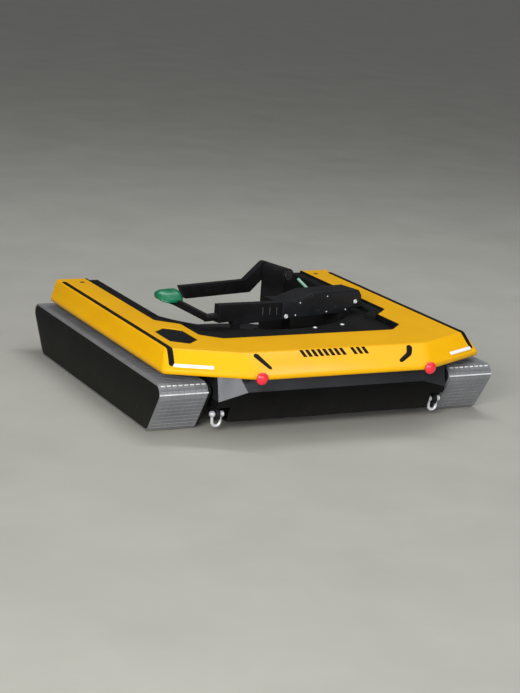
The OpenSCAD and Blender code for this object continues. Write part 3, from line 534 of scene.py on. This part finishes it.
# Columns of both: radius and distance forwards from the rim, in millimetres.
head_profile = np.array([[13, 3.5], [18.4, 3.6], [19.6, 4.6], [20, 6.2], [19.4, 8.2], [17.6, 10.2],
                         [15.2, 12.4], [12, 14.2], [8, 15.4], [3, 15.9]]) * mm
stem_profile = np.array([[12, -17], [12, 0.2], [14.2, 0.4], [14.2, 2.4], [12, 3.0], [11, 4]]) * mm
for side, tag in ((-1, "l"), (1, "r")):
    at = (side * 0.301, -0.599, 0.201)
    piece("stop_head_" + tag, lathe(head_profile, at, (0, -1, 0), 40), "chassis", red,
          stands_for=("stop_button_" + tag,))
    piece("stop_collar_" + tag, lathe(stem_profile, at, (0, -1, 0)), "chassis", panel_finish)


# Lights: a white lens bar on each corner slope, a frosted moulding with a row of fine ribs.
# A thin rim moulded in the hood's colour runs round it.
def on_corner(flat, up):
    """Points given by their way along the corner fold and down the slope, lifted on to the right corner
    slope and `up` out of it."""
    out, tangent = np.append(sweep_n, 0), np.array([-sweep_n[1], sweep_n[0], 0])
    fall = math.atan2(slope_drop, sweep_run)
    down = out * math.cos(fall) - np.array([0, 0, math.sin(fall)])
    lift = out * math.sin(fall) + np.array([0, 0, math.cos(fall)])
    return (nose_x, fold_y, deck_z) + flat[:, :1] * tangent + flat[:, 1:] * down + up * lift


def box_line(half_x, half_y, at=(0, 0)):
    """The four corners of a flat rectangle, counted against the clock from its low left one."""
    return np.array([[-1, -1], [1, -1], [1, 1], [-1, 1]]) * (half_x, half_y) + at


lens = surface("white_lens", (0.80, 0.81, 0.82), (0.88, 0.88, 0.88), (0.18, 0.28), patches=50, coat=0.4)
half_l, half_w, lens_at = 0.0625, 0.006, (0.1475, 0.062)
base = fillet(box_line(half_l, half_w, lens_at), 0.005, 6)
crown = fillet(box_line(half_l - 0.0022, half_w - 0.0022, lens_at), 0.004, 6)
light = [loft([on_corner(line, up) for line, up in
               ((base, 0.0), (base, 0.0016), ((crown + base) / 2, 0.0027), (crown, 0.0031))])]
for rib_at in np.linspace(0.091, 0.204, 24):
    rib = box_line(0.0009, 0.0028, (rib_at, 0.062))
    light.append(loft([on_corner(rib, up) for up in (0.0028, 0.0037)]))
light = join(light)
piece("light_lens_r", light, "chassis", lens, stands_for=("light_bar_r",))
piece("light_lens_l", mirrored(light), "chassis", lens, stands_for=("light_bar_l",))
# Columns: how far outside the lens, corner radius, height.
rim_table = [(0.0028, 0.006, 0.0002), (0.0026, 0.006, 0.0012), (0.0003, 0.005, 0.0014),
             (0.0002, 0.005, 0.0002)]
rim = loft([on_corner(fillet(box_line(half_l + grow, half_w + grow, lens_at), reach, 6), up)
            for grow, reach, up in rim_table], loop=True)
piece("light_frames", join([rim, mirrored(rim)]), "chassis", yellow)

# Towing points: a flame-cut steel lug on each side of the apron, with a small forged and galvanised
# shackle hung in it by a headed pin. The bow is one bar bent to a half circle below two straight legs.
galvanised = surface("galvanised", (0.66, 0.67, 0.68), (0.84, 0.84, 0.84), (0.34, 0.48), patches=90,
                     metal=0.35, grain=1400, flakes=420, gloss=0.6)
leg_l, bow_r, bow_steps, leg_steps = 0.024, 0.014, 25, 7
u = np.linspace(0, np.pi, bow_steps)
leg = np.linspace(0, leg_l, leg_steps + 1)[:-1]
none = np.zeros(leg_steps)
bow = np.concatenate([np.column_stack([none + bow_r, none, -leg]),
                      np.column_stack([bow_r * np.cos(u), np.zeros(bow_steps), -leg_l - bow_r * np.sin(u)]),
                      np.column_stack([none - bow_r, none, -leg[::-1]])])
# Columns of both: radius and place across, in millimetres.
eye_profile = np.array([[6.4, -5], [9.4, -5], [10, -4.2], [10, 4.2], [9.4, 5], [6.4, 5]]) * mm
pin_profile = np.array([[5, -23], [6, -22], [6, 19], [9.2, 19.2], [9.6, 19.8], [9.6, 22.4], [9.0, 23],
                        [5, 23]]) * mm
shackle = [sweep(bow, around(0.005), (0, 1, 0)), lathe(pin_profile, (0, 0, 0), (1, 0, 0), 28)]
shackle += [lathe(eye_profile, (x, 0, 0), (1, 0, 0), 28) for x in (-bow_r, bow_r)]
for tag in ("l", "r"):
    softened("tow_eye_" + tag, ["tow_lug_" + tag], 0.0012, "chassis", black)
points, faces = join(shackle)
for side, tag in ((-1, "l"), (1, "r")):
    piece("tow_shackle_" + tag, (points + (side * 0.394, -0.490, 0.062), faces), "shackle_" + tag,
          galvanised, stands_for=("shackle_" + tag,))


# Tracks: an endless rubber belt each side, moulded in one with rows of small flat blocks and a lip that
# covers the guard's edge. It runs round two end wheels at the ground and two noses higher up, so its
# front leans forward. Two rows of ribs on the nose are pale grey: a painted highlight, standing for the
# light that the nose's curve catches.
def on_belt(s, depth):
    """Point (y, z) at the distance s round the belt and `depth` under its face: on wheel i it is
    c + (r - depth)(cos a, sin a) with a = start + s / r, and on the run that follows it goes straight."""
    s = np.asarray(s, float) % ends[-1]
    i = np.minimum(np.searchsorted(ends, s, side="right"), len(wheels) - 1)
    local = s - (ends - arcs - runs)[i]
    a = first[i] + np.minimum(local / radii[i], turned[i])
    straight = np.maximum(local - arcs[i], 0)
    out, ahead = np.stack([np.cos(a), np.sin(a)], -1), np.stack([-np.sin(a), np.cos(a)], -1)
    return wheels[i, :2] + (radii[i] - depth)[..., None] * out + straight[..., None] * ahead


def treads(starts, across, levels):
    """Low pads on the belt: at each distance round it and each place across it, three rings of four
    corners, whose half length, half width and depth are the rows of levels, closed at both ends."""
    s, x = (np.asarray(v, float)[:, None, None, None] for v in (starts, across))
    corner = np.array([[-1, -1], [1, -1], [1, 1], [-1, 1]])
    where_s = s + levels[:, 0, None] * corner[:, 0]
    where_x = x.transpose(1, 0, 2, 3) + levels[:, 1, None] * corner[:, 1]
    where_s, where_x = np.broadcast_arrays(where_s, where_x)
    yz = on_belt(where_s, np.broadcast_to(levels[:, 2, None], where_s.shape))
    points = np.concatenate([where_x[..., None], yz], -1).reshape(-1, 3)
    k, on = np.arange(4), np.roll(np.arange(4), -1)
    sides = [np.stack([low + k, low + on, low + 4 + on, low + 4 + k], -1) for low in (0, 4)]
    one = np.concatenate(sides + [np.array([[8, 9, 10, 11], [3, 2, 1, 0]])])
    return points, [(np.arange(len(points) // 12)[:, None, None] * 12 + one).reshape(-1, 4)]


# Columns: y, z and radius of the wheel, from the front nose down and round.
wheels = np.array([[-0.484, 0.139, 0.032], [-0.411, 0.036, 0.036], [0.500, 0.036, 0.036],
                   [0.583, 0.139, 0.032]])
radii, after = wheels[:, 2], np.roll(wheels, -1, 0)
step = after[:, :2] - wheels[:, :2]
span, slack = np.hypot(*step.T), radii - after[:, 2]
run_out = np.arctan2(step[:, 1], step[:, 0]) - np.arccos(slack / span)
first = np.roll(run_out, 1)
turned = (run_out - first) % (2 * np.pi)
arcs, runs = turned * radii, np.sqrt(span ** 2 - slack ** 2)
ends = np.cumsum(arcs + runs)
wanted_pitch, tread_x, tread_w = 0.0165, 0.4395, 0.1555
rows = round(ends[-1] / wanted_pitch)
pitch = ends[-1] / rows
# Columns: x on the right side, depth under the treads' face.
strap_section = np.array([[0.4375, 0.0042], [0.4385, 0.0032], [0.4400, 0.0030], [0.5860, 0.0030],
                          [0.5960, 0.0012], [0.5988, 0.0014], [0.5998, 0.0026], [0.5996, 0.0062],
                          [0.5900, 0.0063], [0.5896, 0.0096], [0.5885, 0.0110], [0.4375, 0.0110],
                          [0.4360, 0.0096], [0.4360, 0.0056]])
s, (x, depth) = (np.arange(rows * 3) / 3 * pitch)[:, None], strap_section.T
s, x, depth = np.broadcast_arrays(s, x, depth)
strap = loft(np.concatenate([x[..., None], on_belt(s, depth)], -1), loop=True)
blocks = 8
starts = (np.arange(rows) + 0.5) * pitch
block_places = tread_x + tread_w * (np.arange(blocks) + 0.5) / blocks
# Columns of all four: half length, half width, depth.
pads = treads(starts, block_places,
              np.array([[0.0058, 0.00955, 0.0032], [0.0055, 0.00945, 0.0014], [0.0050, 0.0091, 0.0010]]))
bars = treads(starts + 0.5 * pitch, [tread_x + tread_w / 2],
              np.array([[0.0022, 0.0778, 0.0032], [0.0017, 0.0774, 0.0006], [0.0010, 0.0768, 0.0]]))
# The pale ribs of painted highlight lie on the nose wheel's arc, at these angles up from straight back.
dash_at, line_at = (np.radians([123, 177]) - first[0]) % (2 * np.pi) * radii[0]
dashes = treads([dash_at], block_places,
                np.array([[0.0024, 0.0072, 0.0030], [0.0019, 0.0068, -0.0002], [0.0012, 0.0060, -0.0007]]))
whole_rib = treads([line_at], [0.5180],
                   np.array([[0.0026, 0.0815, 0.0030], [0.0019, 0.0812, -0.0008], [0.0010, 0.0806, -0.0014]]))
belt_rubber = surface("belt_rubber", (0.140, 0.143, 0.152), (0.185, 0.189, 0.199), (0.34, 0.46),
                      patches=14, grain=900, grain_depth=0.0002, dust=0.15, soil=0.2, gloss=0.5)
# Pale grey of the nose ribs: a painted highlight, the light caught on the belt's curve put into the colour.
wear_and_painted_highlight = surface("nose_rib_painted_highlight", (0.50, 0.51, 0.52), (0.78, 0.78, 0.78), (0.3, 0.42), patches=90, grain=900)
belt, nose_rib_highlight_forms = join([strap, pads, bars]), join([dashes, whole_rib])
for tag, loop_form, rib_form in (("r", belt, nose_rib_highlight_forms), ("l", mirrored(belt), mirrored(nose_rib_highlight_forms))):
    piece("track_belt_" + tag, loop_form, "chassis", belt_rubber, smooth=25,
          stands_for=("belt_" + tag,))
    piece("belt_nose_highlight_ribs_" + tag, rib_form, "chassis", wear_and_painted_highlight)

# Side guards: 8 mm sheets of black hard plastic that close the belts' sides, screwed on with seven
# cap screws each. Behind them the frame beams and wheels carry the belt.
guard_plastic = surface("guard_plastic", (0.0055, 0.006, 0.0048), (0.009, 0.0098, 0.008), (0.45, 0.58),
                        patches=8, grain=600, grain_depth=0.00012, scratch=0.07, dust=0.02, soil=0.05,
                        gloss=0.06)
screw_grey = surface("dull_screws", (0.13, 0.13, 0.13), (0.22, 0.22, 0.22), (0.35, 0.5), patches=150,
                     metal=0.3)
steel = surface("wheel_steel", (0.30, 0.31, 0.33), (0.45, 0.46, 0.48), (0.35, 0.5), patches=40, metal=0.8,
                dust=0.2)
guard_face_x = 0.5985
screw_yz = ((0.455, 0.139), (0.235, 0.143), (0.462, 0.047), (-0.338, 0.143), (-0.341, 0.058),
            (-0.05, 0.143), (0.05, 0.058))
for tag, side in (("l", -1), ("r", 1)):
    softened("side_guard_" + tag, ["outer_guard_" + tag], 0.0018, "chassis",
             guard_plastic, turn=20)
    softened("inner_guard_sheet_" + tag, ["inner_guard_" + tag], 0.0015, "chassis",
             guard_plastic, turn=20)
    softened("track_frame_" + tag, ["track_beam_" + tag], 0.0015, "chassis", plate)
    spots = [(side * guard_face_x, y, z) for y, z in screw_yz]
    piece("guard_screws_" + tag, studs(spots, (side, 0, 0), 0.0058, 0.0015, 18), "chassis",
          screw_grey)
for node in ("rollers_l", "rollers_r", "slewing_ring"):
    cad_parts[node].material_slots[0].material = steel


# Turntable: a round steel disc on a slewing ring, with a raised rectangular stand in its middle.
# The stand has an anti-slip sheet: rows of low round pimples, pressed in rubber.
def cradle(points):
    """From the turntable's own axes to the vehicle's: p = centre + the point turned by 12 degrees."""
    turn_back = np.array([[turn_cos, turn_sin, 0], [-turn_sin, turn_cos, 0], [0, 0, 1]])
    return np.asarray(points, float) @ turn_back + disc_centre


def on_cradle(form):
    """A form given in the turntable's own axes, put in the vehicle's."""
    return cradle(form[0]), form[1]


disc_centre = np.array([0, 0.192, 0])
turned_by = math.radians(12)
turn_cos, turn_sin = math.cos(turned_by), math.sin(turned_by)
beam_front, beam_back = (turn_sin, -turn_cos, 0), (-turn_sin, turn_cos, 0)
softened("turntable_disc", ["turntable"], 0.0012, "turntable", black)
dot_pitch, dots_across, dots_along, mat_face = 0.0165, 14, 19, 0.0832
grid = np.meshgrid(np.arange(dots_across) - (dots_across - 1) / 2,
                   np.arange(dots_along) - (dots_along - 1) / 2, indexing="ij")
dot_places = np.stack(grid, -1).reshape(-1, 2) * dot_pitch
dots = studs(flat_ring(dot_places, mat_face), upright, 0.0042, 0.0010, 8)
edge = fillet(box_line(0.117, 0.157), 0.012, 6)
mat = loft([flat_ring(edge * k, z) for k, z in ((1, 0.0828), (1, 0.0834), (0.99, 0.0836))])
piece("stand_mat", on_cradle(join([mat, dots])), "turntable", rubber)


# Gate beam: the bar across the disc's front, a folded plate that thickens into a housing on the right.
# The housing has its own screwed face plate and carries two bright cap screws and a few slots.
# Its ends are notched underneath, where they pass over the strips on the arms.
def cut_away(made, form):
    """Takes the space inside a closed form out of a piece's own mesh, before its edges are rounded."""
    tool = bpy.data.objects.new("cutting_form", new_mesh("cutting_form", form))
    scene.collection.objects.link(tool)
    soft_edges = made.modifiers["soft_edges"]
    soft_edges.show_viewport = False
    cut = made.modifiers.new("cut", "BOOLEAN")
    cut.object, cut.operation, cut.solver = tool, "DIFFERENCE", "EXACT"
    made.data = bpy.data.meshes.new_from_object(made.evaluated_get(bpy.context.evaluated_depsgraph_get()))
    made.modifiers.remove(cut)
    bpy.data.objects.remove(tool)
    soft_edges.show_viewport = True


def upright_ring(line, y):
    """A line of (x, z) pairs, at the depth y."""
    return np.column_stack([line[:, 0], np.full(len(line), y), line[:, 1]])


softened("beam_feet", ["beam_posts"], 0.0012, "turntable", black)
beam = softened("gate_beam_body", ["gate_beam"], 0.0022, "turntable", black, turn=8)
notch_in, notch_out, notch_low, notch_top = 0.2475, 0.33, 0.24, 0.2635
for side in (-1, 1):
    notch = box_line((notch_out - notch_in) / 2, 0.065, (side * (notch_out + notch_in) / 2, -0.245))
    cut_away(beam, on_cradle(loft([flat_ring(notch, z) for z in (notch_low, notch_top)])))
face_y, face_centre = -0.2934, np.array([0.14, 0.288])
face_corners = np.array([[-0.044, 0.2535], [0.2440, 0.2535], [0.2440, 0.2670], [0.3065, 0.2670],
                         [0.3065, 0.3035], [0.294, 0.3210], [0.0905, 0.3250], [0.003, 0.3060],
                         [-0.044, 0.3080]])
line = fillet(face_corners, 0.004, 5) - face_centre
face_plate = loft([upright_ring(line * k + face_centre, y) for k, y in
                   ((1.0, -0.2895), (1.0, -0.2925), (0.9965, -0.2932), (0.992, face_y))])
face_coat = surface("face_coat", (0.010, 0.0105, 0.012), (0.017, 0.018, 0.020), (0.34, 0.46), patches=9,
                    grain=700, scratch=0.14, gloss=0.2)
piece("beam_face_plate", on_cradle(face_plate), "turntable", face_coat)
washer_profile = np.array([[10.8, -1], [10.8, 0.8], [10.2, 1.2], [7.4, 1.2]]) * mm
big_screws = np.array([[-0.030, 0.262], [0.277, 0.287]])
small_screws = np.array([[0.012, 0.262], [0.15, 0.262], [0.236, 0.262], [0.15, 0.3155], [0.03, 0.3035]])
washers = [lathe(washer_profile, at, beam_front, 24) for at in cradle(upright_ring(big_screws, face_y))]
piece("beam_washers", join(washers), "turntable", rubber)
heads = studs(cradle(upright_ring(big_screws, face_y - 0.0014)), beam_front, 0.0078, 0.0040, 24)
small = studs(cradle(upright_ring(small_screws, face_y)), beam_front, 0.0026, 0.0016, 12)
piece("beam_screws", join([heads, small]), "turntable", zinc)
worn_steel = surface("worn_steel", (0.10, 0.10, 0.105), (0.22, 0.22, 0.23), (0.35, 0.5), patches=200,
                     metal=0.7)
slot = fillet(box_line(0.0016, 0.013), 0.0015, 4)
marks = [loft([upright_ring(slot + at, y) for y in (-0.2895, -0.2906)])
         for at in ((-0.128, 0.288), (-0.098, 0.286), (-0.068, 0.283))]
piece("beam_pins", on_cradle(join(marks)), "turntable", worn_steel)
clips = [loft([flat_ring(box_line(half_x, half_y, (x, -0.205)), z) for half_x, half_y, z in
               ((0.012, 0.006, 0.3235), (0.012, 0.006, 0.3262), (0.010, 0.0045, 0.3272))])
         for x in (0.118, 0.168)]
piece("beam_clips", on_cradle(join(clips)), "turntable", zinc)

# Retaining arm: a steel bar across the disc's back, which hinges on a tall rounded post and turns up to
# open the way in. A ribbed rubber pad is bonded to its front face, and the hinge pin has a bright cap.
softened("arm_post_body", ["arm_post"], 0.0022, "turntable", black)
softened("retaining_arm_bar", ["retaining_arm"], 0.0022, "rear_arm", black)
pad_half_l, pad_back, pad_foot, pad_face = 0.075, 0.1850, 0.1805, 0.1800
rib_shape = np.array([[-0.0032, 0], [-0.0016, -0.001], [0.0016, -0.001], [0.0032, 0]])
ribs = [rib_shape + (x, pad_face) for x in np.linspace(-0.070, 0.070, 15)]
outline = np.concatenate([[[-pad_half_l, pad_back], [-pad_half_l, pad_foot]], *ribs,
                          [[pad_half_l, pad_foot], [pad_half_l, pad_back]]])
pad = loft([flat_ring(outline, z) for z in (0.228, 0.266)])
piece("arm_pad", on_cradle(pad), "rear_arm", rubber, stands_for=("tyre_pad",))
pin_at = cradle([[0.259, 0.2125, 0.309], [0.259, 0.0490, 0.309]])
# Columns of both: radius and distance out of the post, in millimetres.
cap_profile = np.array([[9.9, -2], [9.9, 0], [15, 0.2], [15.6, 1.0], [15.6, 2.2], [14.8, 3.0], [9, 3.2],
                        [8.4, 2.2]]) * mm
rim_profile = np.array([[13, -1.5], [17.5, -1.5], [18, -0.9], [18, 0.4], [17.4, 1.0], [13, 1.0]]) * mm
piece("arm_pin_cap", lathe(cap_profile, pin_at[0], beam_back), "turntable", zinc)
piece("post_front_cap", lathe(rim_profile, pin_at[1], beam_front), "turntable", dark_bolt)

# Lever and grip: a flat black foot lever beside the beam with a green moulded grip on its end.
# The grip is a leaf-like form: one section that shrinks to a blunt tip at each end.
softened("lever_bar", ["foot_lever"], 0.0022, "turntable", black)
green = surface("green_plastic", (0.000, 0.108, 0.044), (0.001, 0.165, 0.072), (0.28, 0.4), patches=45,
                coat=0.2)
section = fillet([[-0.122, 0.3005], [-0.121, 0.3085], [-0.103, 0.3290], [-0.078, 0.3386], [-0.055, 0.3340],
                  [-0.050, 0.3200], [-0.058, 0.3080], [-0.104, 0.3030]],
                 [0.002, 0.003, 0.011, 0.012, 0.010, 0.008, 0.008, 0.006], 6)
heart, grip_start, grip_l = np.array([-0.086, 0.318]), -0.418, 0.092
v = np.linspace(0, 1, 23)
near = np.clip(np.minimum(v / 0.42, (1 - v) / 0.2), 0, 1)
shrink = (0.36 + 0.64 * np.sqrt(1 - (1 - near) ** 2))[:, None, None]
yz = (section - heart) * shrink + heart
x = np.broadcast_to((grip_start + grip_l * v)[:, None, None], (len(v), len(section), 1))
piece("lever_grip_pad", on_cradle(loft(np.concatenate([x, yz], -1))), "turntable", green,
      smooth=60, stands_for=("lever_grip",))

# Latch rod: a thin steel rod painted pale green, which leans back and up from behind the beam.
# It is one straight bar, 10 mm across.
mint = surface("pale_green_paint", (0.22, 0.43, 0.32), (0.30, 0.51, 0.40), (0.3, 0.42), patches=80,
               scratch=0.3)
rod_foot, rod_way, rod_l = np.array([0.165, -0.1914, 0.305]), np.array([0.2715, 0.947, 0.174]), 0.1215
rod_side = (0.9613, -0.2756, 0)
rod = sweep(rod_foot + rod_way * rod_l * np.linspace(0, 1, 13)[:, None], around(0.005), rod_side)
piece("latch_rod_bar", on_cradle(rod), "turntable", mint, smooth=50,
      stands_for=("latch_rod",))
